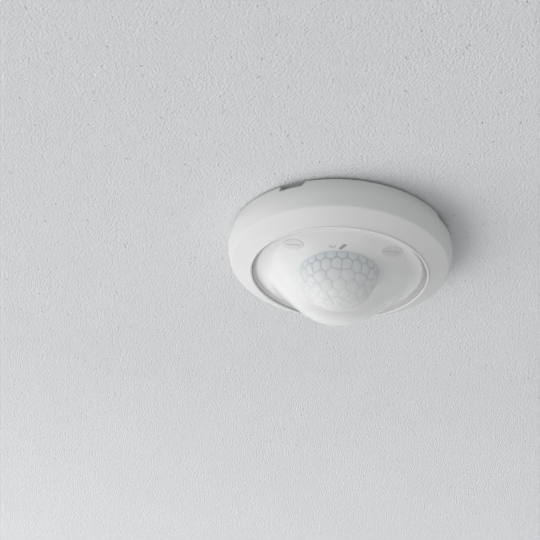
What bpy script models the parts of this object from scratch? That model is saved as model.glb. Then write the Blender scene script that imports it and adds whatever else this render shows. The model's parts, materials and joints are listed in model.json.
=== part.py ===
"""Ceiling motion sensor, surface mounted, built as it comes apart on a bench.

Frame: +Z up, origin in the middle of the flat back that lies against the ceiling.
Everything hangs below it, so a depth is a distance below the ceiling: z = -depth.
All sizes are in metres.
"""
import math

import bmesh
import bpy
from mathutils import Matrix, Vector

# ---- clearances ---------------------------------------------------------------
GAP = 0.0003            # between two pieces that touch or seat on each other
OVERCUT = 0.001         # how far a cutter reaches past the face it opens

# ---- driving sizes ------------------------------------------------------------
OVERALL_DIAMETER = 0.110
OVERALL_HEIGHT = 0.0444     # ceiling face to the tip of the dome
RIM_DEPTH = 0.0203          # ceiling face to the ring around the dome
BEVEL_DROP = 0.0049          # edge between side wall and bevel to the ring
WAIST_DEPTH = 0.0077        # where the side wall is widest
BEVEL_WIDTH = 0.0107         # that edge to the opening, which the dome fills

# ---- cover --------------------------------------------------------------------
COVER_WALL = 0.0020
CEILING_GAP = 0.0006        # the cover stops just short of the ceiling
CEILING_INSET = 0.0014      # how much narrower the wall is at the ceiling
EDGE_INSET = 0.0018         # how much narrower the wall is at the bevel
WALL_BULGE = 0.72            # share of an inset that is won back half way to the waist
EDGE_ROUND = 0.0005
RIM_WIDTH = 0.0014
RIM_HEIGHT = 0.0006
RIM_SHOULDER = 0.8           # height of the ring at its outer third
LEDGE_DROP = 0.0031         # ring plane to the ledge that the dome's flange lies on
LEDGE_WIDTH = 0.0049
NOTCH_WIDTH = 0.0120        # pry-off notches at the ceiling edge
NOTCH_HEIGHT = 0.0030
NOTCH_RAMP = 0.0014
NOTCH_COUNT = 4
NOTCH_START_DEG = 240.0     # the first notch, counted from +X
RIB_WIDTH = 0.0080          # ribs that grip the sensor module
RIB_HEIGHT = 0.0023

# ---- dome ---------------------------------------------------------------------
DOME_WALL = 0.0013
DOME_HOLLOW_RADIUS = 0.01225  # the curve between flank and foot
DOME_FLANK_DEG = 45.0
DOME_FLANGE = 0.0014        # thickness of the clamped flange
DOME_FLANGE_WIDTH = 0.0040
DOME_FOOT_DROP = 0.0002     # the dome's foot lies this far inside the ring plane
DOME_STEP_ROUND = 0.0004
CLAMP_RING_HEIGHT = 0.0013
CLAMP_RING_INSET = 0.0009
CLAMP_RING_OVERHANG = 0.0006

# ---- mounting base ------------------------------------------------------------
BASE_PLATE = 0.0022
COLLAR_WALL = 0.0018
COLLAR_DEPTH = 0.0075
COLLAR_CLEARANCE = 0.0006   # collar to the narrowest place inside the cover
FIXING_SPACING = 0.060      # the two slots fit the screws of a wall box
FIXING_SLOT_LENGTH = 0.009
FIXING_SLOT_WIDTH = 0.0044

# ---- cable entry and terminals ------------------------------------------------
CABLE_HOLE_RADIUS = 0.0063
CABLE_X = -0.0200
GROMMET_BORE_RADIUS = 0.0036
GROMMET_FLANGE = 0.0015     # how far its flange reaches past the hole
GROMMET_FLANGE_HEIGHT = 0.0010
WIRING_Y = 0.0345           # middle of the wiring space, behind the module
TERMINAL_COUNT = 4
TERMINAL_PITCH = 0.0062
TERMINAL_DEPTH_Y = 0.0105
TERMINAL_HEIGHT = 0.0085
TERMINAL_X = 0.0080
TERMINAL_WELL_RADIUS = 0.0020
TERMINAL_WELL_DEPTH = 0.0024
TERMINAL_HEAD_HEIGHT = 0.0016
TERMINAL_THREAD_RADIUS = 0.0011
TERMINAL_THREAD_LENGTH = 0.0034
WIRE_HOLE = 0.0030
WIRE_HOLE_DEPTH = 0.0040

# ---- plug between base and module ---------------------------------------------
SOCKET_Y = 0.0170
SOCKET_SIZE = (0.0200, 0.0060, 0.0055)
CONTACT_COUNT = 4
CONTACT_PITCH = 0.0045
BLADE_SIZE = (0.0024, 0.0008)
BLADE_ENGAGEMENT = 0.0034
PLUG_MARGIN = 0.0030
PLUG_HEIGHT = 0.0020

# ---- sensor module ------------------------------------------------------------
HOUSING_WALL = 0.0016
HOUSING_FLOOR = 0.0018
HOUSING_CLEARANCE = 0.0026  # module to the base's collar
CHORD_Y = 0.0260            # flat side of the module, towards the wiring space
STANDOFF_HEIGHT = 0.0014
STANDOFF_RADIUS = 0.0022
POWER_BOARD = 0.0016
SENSOR_BOARD = 0.0016
BOARD_EDGE = 0.0008         # board to the housing wall
FACE_THICKNESS = 0.0015
FACE_WALL = 0.0012
FACE_CLEARANCE = 0.0006     # face to the dome's inside
BRIM_THICKNESS = 0.0014
BOSS_RADIUS = 0.0026
BOSS_CIRCLE_INSET = 0.0052  # boss axes to the outside of the raised face
BOSS_ANGLES_DEG = (20.0, 160.0, 270.0)
HOUSING_SCREW_RADIUS = 0.0010
HOUSING_SCREW_LENGTH = 0.0080
HOUSING_HEAD_RADIUS = 0.0022
HOUSING_HEAD_HEIGHT = 0.0008

# ---- inner lens, its board and the detectors ----------------------------------
LENS_RADIUS = 0.0190
LENS_WALL = 0.0009
LENS_FLANGE_WIDTH = 0.0022
LENS_FLANGE_HEIGHT = 0.0011
LENS_CENTRE_DROP = 0.0006   # centre of the lens below the face
BOARD_BOSS_RADIUS = 0.0018
BOARD_BOSS_MARGIN = 0.0006
BOARD_SCREW_RADIUS = 0.0008
BOARD_SCREW_LENGTH = 0.0034
BOARD_HEAD_RADIUS = 0.0018
BOARD_HEAD_HEIGHT = 0.0010
DETECTOR_COUNT = 3
DETECTOR_CIRCLE = 0.0072
DETECTOR_RADIUS = 0.0041
DETECTOR_HEIGHT = 0.0042
DETECTOR_BRIM = 0.0005
LED_RADIUS = 0.0015
LED_X = -0.0048
LED_MARGIN = 0.0037         # LED and light window to the edge of the lens
LED_FOOT = 0.0003
LIGHT_WINDOW = (0.0050, 0.0014)
LIGHT_WINDOW_X = -0.0002
LIGHT_WINDOW_DEG = 118.0
LIGHT_CHIP = (0.0020, 0.0014, 0.0008)

# ---- setting dials ------------------------------------------------------------
DIAL_CIRCLE_INSET = 0.0082  # dial axes to the outside of the raised face
DIAL_ANGLES_DEG = {"time": 223.0, "light": 317.0}
DIAL_RADIUS = 0.0045
DIAL_COLLAR = 0.0011
DIAL_COLLAR_HEIGHT = 0.0013
DIAL_PROUD = 0.0002
DIAL_SLOT = (0.0068, 0.0011, 0.0010)
DIAL_SHAFT_RADIUS = 0.0015
POT_SIZE = (0.0090, 0.0090, 0.0043)
POT_BORE_DEPTH = 0.0032

# ---- electronics on the power board: (x, y, length, width, height) ---------------
RELAY_Y = -0.0020
RELAY_SIZE = (0.0095, 0.0160, 0.0070)
RELAY_CLEARANCE = 0.00175    # relay to the sensor board, which reaches down beside it
CONTROL_CHIP = (0.0020, 0.0020, 0.0090, 0.0060, 0.0020)
FILM_CAPACITOR = (0.0135, -0.0060, 0.0065, 0.0120, 0.0042)
BOARD_LINK = (0.0, -0.0135, 0.0100, 0.0030)
CAN_EDGE = 0.12              # broken edge of a round part, as a share of its radius
# round ones: (x, y, radius, height)
STORE_CAPACITOR_Y = -0.0030
STORE_CAPACITOR_SIZE = (0.0045, 0.0080)
STORE_CLEARANCE = 0.0021     # store capacitor to the sensor board
CHOKE = (-0.0125, -0.0060, 0.0042, 0.0042)
VARISTOR = (-0.0130, 0.0050, 0.0045, 0.0036)

# ---- how finely round things are divided ----------------------------------------
SEGMENTS_LARGE = 48
SEGMENTS_MEDIUM = 28
SEGMENTS_SMALL = 14
ARC_STEPS = 5

# ---- places that follow from the values above -----------------------------------
OUTER_RADIUS = OVERALL_DIAMETER / 2
EDGE_RADIUS = OUTER_RADIUS - EDGE_INSET
CEILING_RADIUS = OUTER_RADIUS - CEILING_INSET
EDGE_DEPTH = RIM_DEPTH - BEVEL_DROP
OPENING_RADIUS = EDGE_RADIUS - BEVEL_WIDTH
COVER_NARROWEST = EDGE_RADIUS - COVER_WALL
COLLAR_RADIUS = COVER_NARROWEST - COLLAR_CLEARANCE
COLLAR_INNER = COLLAR_RADIUS - COLLAR_WALL
HOUSING_RADIUS = COLLAR_INNER - HOUSING_CLEARANCE
HOUSING_TOP = BASE_PLATE + GAP
HOUSING_INNER_TOP = HOUSING_TOP + HOUSING_FLOOR

LEDGE_DEPTH = RIM_DEPTH - LEDGE_DROP
DOME_FOOT_DEPTH = RIM_DEPTH - DOME_FOOT_DROP
DOME_STEP_RADIUS = OPENING_RADIUS - GAP
DOME_FLANGE_BOTTOM = LEDGE_DEPTH - GAP
DOME_FLANGE_TOP = DOME_FLANGE_BOTTOM - DOME_FLANGE
DOME_FLANGE_RADIUS = DOME_STEP_RADIUS + DOME_FLANGE_WIDTH
CLAMP_RING_BOTTOM = DOME_FLANGE_TOP - GAP
CLAMP_RING_TOP = CLAMP_RING_BOTTOM - CLAMP_RING_HEIGHT

FACE_DEPTH = DOME_FOOT_DEPTH - DOME_WALL - FACE_CLEARANCE
FACE_BACK = FACE_DEPTH - FACE_THICKNESS
FACE_RADIUS = DOME_STEP_RADIUS - DOME_WALL - FACE_CLEARANCE
BRIM_BOTTOM = CLAMP_RING_TOP - GAP
BRIM_TOP = BRIM_BOTTOM - BRIM_THICKNESS
BRIM_RADIUS = HOUSING_RADIUS
HOUSING_BOTTOM = BRIM_TOP - GAP

POWER_BOARD_TOP = HOUSING_INNER_TOP + STANDOFF_HEIGHT + GAP
POWER_BOARD_BOTTOM = POWER_BOARD_TOP + POWER_BOARD
PARTS_TOP = POWER_BOARD_BOTTOM + GAP

LENS_CENTRE_DEPTH = FACE_DEPTH + LENS_CENTRE_DROP
LENS_FLANGE_BOTTOM = FACE_BACK - GAP
LENS_FLANGE_TOP = LENS_FLANGE_BOTTOM - LENS_FLANGE_HEIGHT
LENS_FLANGE_RADIUS = LENS_RADIUS + LENS_FLANGE_WIDTH
BOARD_BOSS_CIRCLE = LENS_FLANGE_RADIUS + BOARD_BOSS_MARGIN + BOARD_BOSS_RADIUS
DETECTOR_TOP = LENS_CENTRE_DEPTH - DETECTOR_HEIGHT
SENSOR_BOARD_BOTTOM = DETECTOR_TOP - GAP
SENSOR_BOARD_TOP = SENSOR_BOARD_BOTTOM - SENSOR_BOARD
SENSOR_BOARD_RADIUS = BOARD_BOSS_CIRCLE + BOARD_BOSS_RADIUS

BOSS_CIRCLE = FACE_RADIUS - BOSS_CIRCLE_INSET
DIAL_CIRCLE = FACE_RADIUS - DIAL_CIRCLE_INSET
SETTING_Y = -(LENS_RADIUS + LED_MARGIN)
CHORD_INNER = CHORD_Y - HOUSING_WALL


# ---- small helpers ----------------------------------------------------------------
def clear_scene():
    """Remove what the file started with."""
    for item in list(bpy.data.objects):
        bpy.data.objects.remove(item, do_unlink=True)


def material(name, colour, roughness, metallic=0.0):
    """A plain Principled material, made once for each name."""
    made = bpy.data.materials.get(name)
    if made is None:
        made = bpy.data.materials.new(name)
        made.use_nodes = True
        shader = made.node_tree.nodes["Principled BSDF"]
        shader.inputs["Base Color"].default_value = (*colour, 1.0)
        shader.inputs["Roughness"].default_value = roughness
        shader.inputs["Metallic"].default_value = metallic
    return made


def finish(name, bm, finish_material, place=(0.0, 0.0, 0.0)):
    """Turn a bmesh whose points are relative to place into a named object there."""
    bmesh.ops.recalc_face_normals(bm, faces=bm.faces)
    mesh = bpy.data.meshes.new(name)
    bm.to_mesh(mesh)
    bm.free()
    mesh.shade_smooth()
    mesh.set_sharp_from_angle(angle=math.radians(30.0))
    thing = bpy.data.objects.new(name, mesh)
    thing.location = place
    bpy.context.scene.collection.objects.link(thing)
    if finish_material is not None:
        mesh.materials.append(finish_material)
    return thing


def spin_profile(bm, profile, segments, centre=(0.0, 0.0)):
    """Spin (radius, depth) points round the vertical through centre; the outline closes itself."""
    start = [bm.verts.new((centre[0] + r, centre[1], -depth)) for r, depth in profile]
    on_axis = profile[0][0] == 0.0 and profile[-1][0] == 0.0
    edges = [bm.edges.new(pair) for pair in zip(start, start[1:])]
    if not on_axis:
        edges.append(bm.edges.new((start[-1], start[0])))
    bmesh.ops.spin(bm, geom=start + edges, cent=(centre[0], centre[1], 0.0), axis=(0, 0, 1),
                   angle=2 * math.pi, steps=segments, use_merge=True, use_duplicate=False)
    bmesh.ops.remove_doubles(bm, verts=bm.verts, dist=1e-6)


def turned(name, profile, segments, look, place=(0.0, 0.0, 0.0)):
    """A turned piece."""
    bm = bmesh.new()
    spin_profile(bm, profile, segments)
    return finish(name, bm, look, place)


def add_cylinder(bm, x, y, radius, top, bottom, segments=SEGMENTS_SMALL):
    """A cylinder between two depths."""
    place = Matrix.Translation((x, y, -(top + bottom) / 2))
    bmesh.ops.create_cone(bm, cap_ends=True, segments=segments, radius1=radius, radius2=radius,
                          depth=bottom - top, matrix=place)


def add_box(bm, x, y, length, width, top, bottom, turn_deg=0.0):
    """A box between two depths, turned about its own vertical."""
    size = Matrix.Diagonal((length, width, bottom - top, 1.0))
    place = Matrix.Translation((x, y, -(top + bottom) / 2))
    bmesh.ops.create_cube(bm, size=1.0, matrix=place @ Matrix.Rotation(math.radians(turn_deg), 4, "Z") @ size)


def add_extrusion(bm, outline, top, bottom):
    """An outline of (x, y) points carried from one depth to another."""
    face = bm.faces.new([bm.verts.new((x, y, -top)) for x, y in outline])
    grown = bmesh.ops.extrude_face_region(bm, geom=[face])["geom"]
    moved = [item for item in grown if isinstance(item, bmesh.types.BMVert)]
    bmesh.ops.translate(bm, verts=moved, vec=(0, 0, top - bottom))


def combine(target, tool_bm, operation, name):
    """Cut a bmesh from an object, or join it on, with a Boolean that stays on the object."""
    tool = finish(name, tool_bm, None)
    tool.hide_render = True
    tool.display_type = "WIRE"
    step = target.modifiers.new(name, "BOOLEAN")
    step.operation = operation
    step.object = tool
    step.solver = "EXACT"


def cut(target, tool_bm, name):
    combine(target, tool_bm, "DIFFERENCE", name)


def join(target, tool_bm, name):
    combine(target, tool_bm, "UNION", name)


def soften(thing, width, segments=1):
    """Round the sharp edges of a small moulded piece."""
    bevel = thing.modifiers.new("soft_edges", "BEVEL")
    bevel.width = width
    bevel.segments = segments
    bevel.limit_method = "ANGLE"
    bevel.angle_limit = math.radians(50.0)


def polar(radius, degrees):
    """A point on a circle round the middle."""
    angle = math.radians(degrees)
    return radius * math.cos(angle), radius * math.sin(angle)


def arc(centre, radius, start_deg, end_deg, steps=ARC_STEPS):
    """Points along an arc, both ends included; centre and result are (radius, depth) pairs."""
    turns = [math.radians(start_deg + (end_deg - start_deg) * i / steps) for i in range(steps + 1)]
    return [(centre[0] + radius * math.cos(t), centre[1] + radius * math.sin(t)) for t in turns]


def centred(count, pitch):
    """Offsets of a row of equal pieces about its middle."""
    return [(i - (count - 1) / 2) * pitch for i in range(count)]


# ---- finishes ---------------------------------------------------------------------
def white_plastic():
    return material("white_plastic", (0.78, 0.78, 0.76), 0.45)


def grey_plastic():
    return material("grey_plastic", (0.50, 0.50, 0.49), 0.55)


def dome_plastic():
    return material("dome_plastic", (0.74, 0.75, 0.74), 0.18)


def lens_plastic():
    return material("lens_plastic", (0.62, 0.66, 0.70), 0.35)


def face_plastic():
    return material("face_plastic", (0.62, 0.62, 0.60), 0.50)


def board_green():
    return material("board_green", (0.06, 0.22, 0.12), 0.50)


def black_plastic():
    return material("black_plastic", (0.04, 0.04, 0.045), 0.45)


def grommet_rubber():
    return material("grommet_rubber", (0.10, 0.10, 0.10), 0.80)


def contact_brass():
    return material("contact_brass", (0.72, 0.56, 0.28), 0.35, 1.0)


def plated_steel():
    return material("plated_steel", (0.62, 0.62, 0.60), 0.35, 1.0)


# ---- profiles ---------------------------------------------------------------------
def side_wall(offset):
    """The cover's side wall from the ceiling edge down to the bevel, moved in by offset."""
    upper = (WAIST_DEPTH + CEILING_GAP) / 2
    lower = (WAIST_DEPTH + EDGE_DEPTH) / 2
    return [(CEILING_RADIUS - offset, CEILING_GAP),
            (CEILING_RADIUS + CEILING_INSET * WALL_BULGE - offset, upper),
            (OUTER_RADIUS - offset, WAIST_DEPTH),
            (EDGE_RADIUS + EDGE_INSET * WALL_BULGE - offset, lower)]


def cover_profile():
    """Outer side from the ceiling down over bevel and ring, then back up the inside."""
    ring_outer = OPENING_RADIUS + RIM_WIDTH
    ring_middle = OPENING_RADIUS + RIM_WIDTH / 2
    outer = side_wall(0.0)
    outer += [(EDGE_RADIUS, EDGE_DEPTH - EDGE_ROUND), (EDGE_RADIUS - EDGE_ROUND, EDGE_DEPTH)]
    outer += [(ring_outer, RIM_DEPTH), (ring_middle + RIM_WIDTH / 3, RIM_DEPTH + RIM_HEIGHT * RIM_SHOULDER),
              (ring_middle, RIM_DEPTH + RIM_HEIGHT), (OPENING_RADIUS, RIM_DEPTH + RIM_HEIGHT / 3)]
    inner = [(OPENING_RADIUS, LEDGE_DEPTH), (OPENING_RADIUS + LEDGE_WIDTH, LEDGE_DEPTH),
             (COVER_NARROWEST, EDGE_DEPTH - COVER_WALL / 2)]
    return outer + inner + side_wall(COVER_WALL)[::-1]


def dome_outline(offset):
    """The bell, from its foot to its tip: a hollow curve, a straight flank and a round cap."""
    flank = math.radians(DOME_FLANK_DEG)
    foot_radius = DOME_STEP_RADIUS - DOME_STEP_ROUND
    meets_foot = foot_radius - DOME_HOLLOW_RADIUS * math.tan(flank / 2)
    rise = OVERALL_HEIGHT - DOME_FOOT_DEPTH
    cap_radius = (meets_foot - rise / math.tan(flank)) / math.tan(flank / 2)
    hollow_centre = (foot_radius, DOME_FOOT_DEPTH + DOME_HOLLOW_RADIUS)
    hollow = arc(hollow_centre, DOME_HOLLOW_RADIUS + offset, -90.0, -90.0 - DOME_FLANK_DEG)
    cap = arc((0.0, OVERALL_HEIGHT - cap_radius), cap_radius - offset, 90.0 - DOME_FLANK_DEG, 90.0)
    return hollow + cap[:-1] + [(0.0, OVERALL_HEIGHT - offset)]


def dome_profile():
    """The dome as a shell: from its tip inside, round the flange, and out to its tip outside."""
    inner_wall = DOME_STEP_RADIUS - DOME_WALL
    inside = dome_outline(DOME_WALL)[::-1]
    inside = [point for point in inside if point[0] < inner_wall]
    flange = [(inner_wall, DOME_FOOT_DEPTH - DOME_WALL), (inner_wall, DOME_FLANGE_TOP),
              (DOME_FLANGE_RADIUS, DOME_FLANGE_TOP), (DOME_FLANGE_RADIUS, DOME_FLANGE_BOTTOM),
              (DOME_STEP_RADIUS, DOME_FLANGE_BOTTOM),
              (DOME_STEP_RADIUS, DOME_FOOT_DEPTH - DOME_STEP_ROUND)]
    return inside + flange + dome_outline(0.0)


def d_outline(radius, chord_y, segments=SEGMENTS_LARGE):
    """A circle with a flat side at chord_y."""
    start = math.asin(chord_y / radius)
    sweep = math.pi + 2 * start
    first = math.pi - start
    return [(radius * math.cos(first + sweep * i / segments), radius * math.sin(first + sweep * i / segments))
            for i in range(segments + 1)]


def slot_outline(x, y, length, width, turn_deg=0.0, steps=8):
    """A straight slot with round ends."""
    points = []
    for side, start in ((1, -90.0), (-1, 90.0)):
        for i in range(steps + 1):
            angle = math.radians(start + 180.0 * i / steps)
            points.append(((length - width) / 2 * side + width / 2 * math.cos(angle),
                           width / 2 * math.sin(angle)))
    turn = Matrix.Rotation(math.radians(turn_deg), 2)
    return [tuple(Vector((x, y)) + turn @ Vector(point)) for point in points]


# ---- mounting base ------------------------------------------------------------------
def make_mounting_base():
    """The plate that is screwed to the ceiling, with a collar, screw slots and a cable hole."""
    profile = [(0.0, 0.0), (COLLAR_RADIUS, 0.0), (COLLAR_RADIUS, COLLAR_DEPTH), (COLLAR_INNER, COLLAR_DEPTH),
               (COLLAR_INNER, BASE_PLATE), (0.0, BASE_PLATE)]
    base = turned("mounting_base", profile, SEGMENTS_LARGE, grey_plastic())
    holes = bmesh.new()
    add_cylinder(holes, CABLE_X, WIRING_Y, CABLE_HOLE_RADIUS, -OVERCUT, BASE_PLATE + OVERCUT, SEGMENTS_MEDIUM)
    for side in (-1, 1):
        slot = slot_outline(side * FIXING_SPACING / 2, 0.0, FIXING_SLOT_LENGTH, FIXING_SLOT_WIDTH, 90.0)
        add_extrusion(holes, slot, -OVERCUT, BASE_PLATE + OVERCUT)
    cut(base, holes, "base_holes")
    return base


def make_cable_grommet():
    """A soft bush that seals the cable in the base's hole."""
    neck = CABLE_HOLE_RADIUS - GAP
    flange = CABLE_HOLE_RADIUS + GROMMET_FLANGE
    top = BASE_PLATE + GAP
    profile = [(GROMMET_BORE_RADIUS, GAP), (neck, GAP), (neck, top), (flange, top),
               (flange, top + GROMMET_FLANGE_HEIGHT), (GROMMET_BORE_RADIUS, top + GROMMET_FLANGE_HEIGHT)]
    return turned("cable_grommet", profile, SEGMENTS_MEDIUM, grommet_rubber(), (CABLE_X, WIRING_Y, 0.0))


def terminal_places():
    return [TERMINAL_X + offset for offset in centred(TERMINAL_COUNT, TERMINAL_PITCH)]


def make_terminal_block():
    """The block that the mains wires are clamped in."""
    top = BASE_PLATE + GAP
    bottom = top + TERMINAL_HEIGHT
    body = bmesh.new()
    add_box(body, TERMINAL_X, WIRING_Y, TERMINAL_COUNT * TERMINAL_PITCH, TERMINAL_DEPTH_Y, top, bottom)
    block = finish("terminal_block", body, white_plastic())
    wells = bmesh.new()
    wire_y = WIRING_Y + TERMINAL_DEPTH_Y / 2 - (WIRE_HOLE_DEPTH - OVERCUT) / 2
    wire_top = top + TERMINAL_HEIGHT / 3 - WIRE_HOLE / 2
    well_floor = bottom - TERMINAL_WELL_DEPTH
    bore = TERMINAL_THREAD_RADIUS + GAP
    profile = [(0.0, well_floor - TERMINAL_THREAD_LENGTH - GAP), (bore, well_floor - TERMINAL_THREAD_LENGTH - GAP),
               (bore, well_floor), (TERMINAL_WELL_RADIUS, well_floor), (TERMINAL_WELL_RADIUS, bottom + OVERCUT),
               (0.0, bottom + OVERCUT)]
    for x in terminal_places():
        spin_profile(wells, profile, SEGMENTS_SMALL, (x, WIRING_Y))
    cut(block, wells, "terminal_wells")
    wires = bmesh.new()
    for x in terminal_places():
        add_box(wires, x, wire_y, WIRE_HOLE, WIRE_HOLE_DEPTH + OVERCUT, wire_top, wire_top + WIRE_HOLE)
    cut(block, wires, "terminal_wire_holes")
    return block


def screw(name, x, y, head_depth, head_radius, head_height, thread_radius, thread_length, look, upwards):
    """A screw with a slotted head. Upwards means that its thread runs towards the ceiling."""
    sign = -1 if upwards else 1
    head_end = head_depth + sign * head_height
    thread_end = head_end + sign * thread_length
    profile = [(0.0, head_depth), (head_radius, head_depth), (head_radius, head_end),
               (thread_radius, head_end), (thread_radius, thread_end), (0.0, thread_end)]
    made = turned(name, profile, SEGMENTS_SMALL, look, (x, y, 0.0))
    slot_end = head_depth + sign * head_height / 2
    slot_start = head_depth - sign * OVERCUT
    slot = bmesh.new()
    add_box(slot, x, y, head_radius * 3, head_radius * 0.28, min(slot_end, slot_start), max(slot_end, slot_start))
    cut(made, slot, name + "_slot")
    return made


def make_terminal_screws():
    """One clamping screw for each wire."""
    seat = BASE_PLATE + GAP + TERMINAL_HEIGHT - TERMINAL_WELL_DEPTH - GAP
    head = seat + 2 * GAP + TERMINAL_HEAD_HEIGHT
    for number, x in enumerate(terminal_places(), 1):
        screw(f"terminal_screw_{number}", x, WIRING_Y, head, TERMINAL_WELL_RADIUS - GAP, TERMINAL_HEAD_HEIGHT,
              TERMINAL_THREAD_RADIUS, TERMINAL_THREAD_LENGTH, plated_steel(), upwards=True)


def contact_places():
    return centred(CONTACT_COUNT, CONTACT_PITCH)


def make_contact_socket():
    """The socket on the base that the module's blades go into."""
    top = BASE_PLATE + GAP
    bottom = top + SOCKET_SIZE[2]
    body = bmesh.new()
    add_box(body, 0.0, SOCKET_Y, SOCKET_SIZE[0], SOCKET_SIZE[1], top, bottom)
    socket = finish("contact_socket", body, black_plastic())
    slots = bmesh.new()
    for x in contact_places():
        add_box(slots, x, SOCKET_Y, BLADE_SIZE[0] + 2 * GAP, BLADE_SIZE[1] + 2 * GAP,
                bottom - BLADE_ENGAGEMENT - GAP, bottom + OVERCUT)
    cut(socket, slots, "socket_slots")
    return socket


# ---- sensor module --------------------------------------------------------------------
def make_module_housing():
    """The module's tray: closed towards the ceiling, flat on the side of the wiring space."""
    body = bmesh.new()
    add_extrusion(body, d_outline(HOUSING_RADIUS, CHORD_Y), HOUSING_TOP, HOUSING_BOTTOM)
    housing = finish("module_housing", body, white_plastic())
    hollow = bmesh.new()
    add_extrusion(hollow, d_outline(HOUSING_RADIUS - HOUSING_WALL, CHORD_INNER), HOUSING_INNER_TOP,
                  HOUSING_BOTTOM + OVERCUT)
    cut(housing, hollow, "housing_hollow")
    posts = bmesh.new()
    for angle in BOSS_ANGLES_DEG:
        x, y = polar(BOSS_CIRCLE - BOSS_RADIUS - STANDOFF_RADIUS - 2 * GAP, angle)
        add_cylinder(posts, x, y, STANDOFF_RADIUS, HOUSING_INNER_TOP - HOUSING_FLOOR / 2,
                     HOUSING_INNER_TOP + STANDOFF_HEIGHT)
    join(housing, posts, "housing_standoffs")
    holes = bmesh.new()
    window = 2 * GAP + 0.0006
    add_box(holes, 0.0, SOCKET_Y, SOCKET_SIZE[0] + window, SOCKET_SIZE[1] + window, HOUSING_TOP - OVERCUT,
            HOUSING_INNER_TOP + OVERCUT)
    seat = HOUSING_TOP + HOUSING_HEAD_HEIGHT + 2 * GAP
    for angle in BOSS_ANGLES_DEG:
        x, y = polar(BOSS_CIRCLE, angle)
        counterbore = [(0.0, HOUSING_TOP - OVERCUT), (HOUSING_HEAD_RADIUS + GAP, HOUSING_TOP - OVERCUT),
                       (HOUSING_HEAD_RADIUS + GAP, seat), (HOUSING_SCREW_RADIUS + GAP, seat),
                       (HOUSING_SCREW_RADIUS + GAP, HOUSING_INNER_TOP + OVERCUT),
                       (0.0, HOUSING_INNER_TOP + OVERCUT)]
        spin_profile(holes, counterbore, SEGMENTS_SMALL, (x, y))
    cut(housing, holes, "housing_holes")
    return housing


def make_housing_screws():
    """Screws through the tray into the bosses behind the face."""
    for number, angle in enumerate(BOSS_ANGLES_DEG, 1):
        x, y = polar(BOSS_CIRCLE, angle)
        screw(f"housing_screw_{number}", x, y, HOUSING_TOP + GAP, HOUSING_HEAD_RADIUS, HOUSING_HEAD_HEIGHT,
              HOUSING_SCREW_RADIUS, HOUSING_SCREW_LENGTH, plated_steel(), upwards=False)


def board_screw_places():
    return [(side * BOARD_BOSS_CIRCLE, 0.0) for side in (-1, 1)]


def make_sensor_face():
    """The round face behind the dome: a raised disc with a brim, holes for what looks out, and bosses."""
    profile = [(0.0, FACE_BACK), (FACE_RADIUS - FACE_WALL, FACE_BACK), (FACE_RADIUS - FACE_WALL, BRIM_TOP),
               (BRIM_RADIUS, BRIM_TOP), (BRIM_RADIUS, BRIM_BOTTOM), (FACE_RADIUS, BRIM_BOTTOM),
               (FACE_RADIUS, FACE_DEPTH), (0.0, FACE_DEPTH)]
    face = turned("sensor_face", profile, SEGMENTS_LARGE, face_plastic())
    bosses = bmesh.new()
    rooted = FACE_BACK + FACE_THICKNESS / 2
    for angle in BOSS_ANGLES_DEG:
        add_cylinder(bosses, *polar(BOSS_CIRCLE, angle), BOSS_RADIUS, HOUSING_INNER_TOP + GAP, rooted)
    for x, y in board_screw_places():
        add_cylinder(bosses, x, y, BOARD_BOSS_RADIUS, SENSOR_BOARD_BOTTOM + GAP, rooted)
    join(face, bosses, "face_bosses")
    holes = bmesh.new()
    through = FACE_DEPTH + OVERCUT
    add_cylinder(holes, 0.0, 0.0, LENS_RADIUS + GAP, FACE_BACK - OVERCUT, through, SEGMENTS_LARGE)
    for angle in DIAL_ANGLES_DEG.values():
        add_cylinder(holes, *polar(DIAL_CIRCLE, angle), DIAL_RADIUS + GAP, FACE_BACK - OVERCUT, through,
                     SEGMENTS_MEDIUM)
    add_cylinder(holes, LED_X, SETTING_Y, LED_RADIUS + GAP, FACE_BACK - OVERCUT, through)
    slot = slot_outline(LIGHT_WINDOW_X, SETTING_Y, LIGHT_WINDOW[0] + 2 * GAP, LIGHT_WINDOW[1] + 2 * GAP,
                        LIGHT_WINDOW_DEG)
    add_extrusion(holes, slot, FACE_BACK - OVERCUT, through)
    screw_end = HOUSING_TOP + GAP + HOUSING_HEAD_HEIGHT + HOUSING_SCREW_LENGTH + GAP
    for angle in BOSS_ANGLES_DEG:
        add_cylinder(holes, *polar(BOSS_CIRCLE, angle), HOUSING_SCREW_RADIUS + GAP, HOUSING_TOP, screw_end)
    board_screw_end = SENSOR_BOARD_TOP - GAP + BOARD_SCREW_LENGTH + GAP
    for x, y in board_screw_places():
        add_cylinder(holes, x, y, BOARD_SCREW_RADIUS + GAP, SENSOR_BOARD_TOP, board_screw_end)
    cut(face, holes, "face_holes")
    return face


def make_inner_lens():
    """The faceted lens dome behind the smooth dome: a neck, a half ball and a clamped flange."""
    inner = LENS_RADIUS - LENS_WALL
    steps = 2 * ARC_STEPS
    outside = arc((0.0, LENS_CENTRE_DEPTH), LENS_RADIUS, 0.0, 90.0, steps)
    inside = arc((0.0, LENS_CENTRE_DEPTH), inner, 90.0, 0.0, steps)
    tip_out = (0.0, LENS_CENTRE_DEPTH + LENS_RADIUS)
    tip_in = (0.0, LENS_CENTRE_DEPTH + inner)
    flange = [(inner, LENS_FLANGE_TOP), (LENS_FLANGE_RADIUS, LENS_FLANGE_TOP),
              (LENS_FLANGE_RADIUS, LENS_FLANGE_BOTTOM), (LENS_RADIUS, LENS_FLANGE_BOTTOM)]
    return turned("inner_lens", [tip_in] + inside[1:] + flange + outside[:-1] + [tip_out], SEGMENTS_MEDIUM,
                  lens_plastic())


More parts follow.
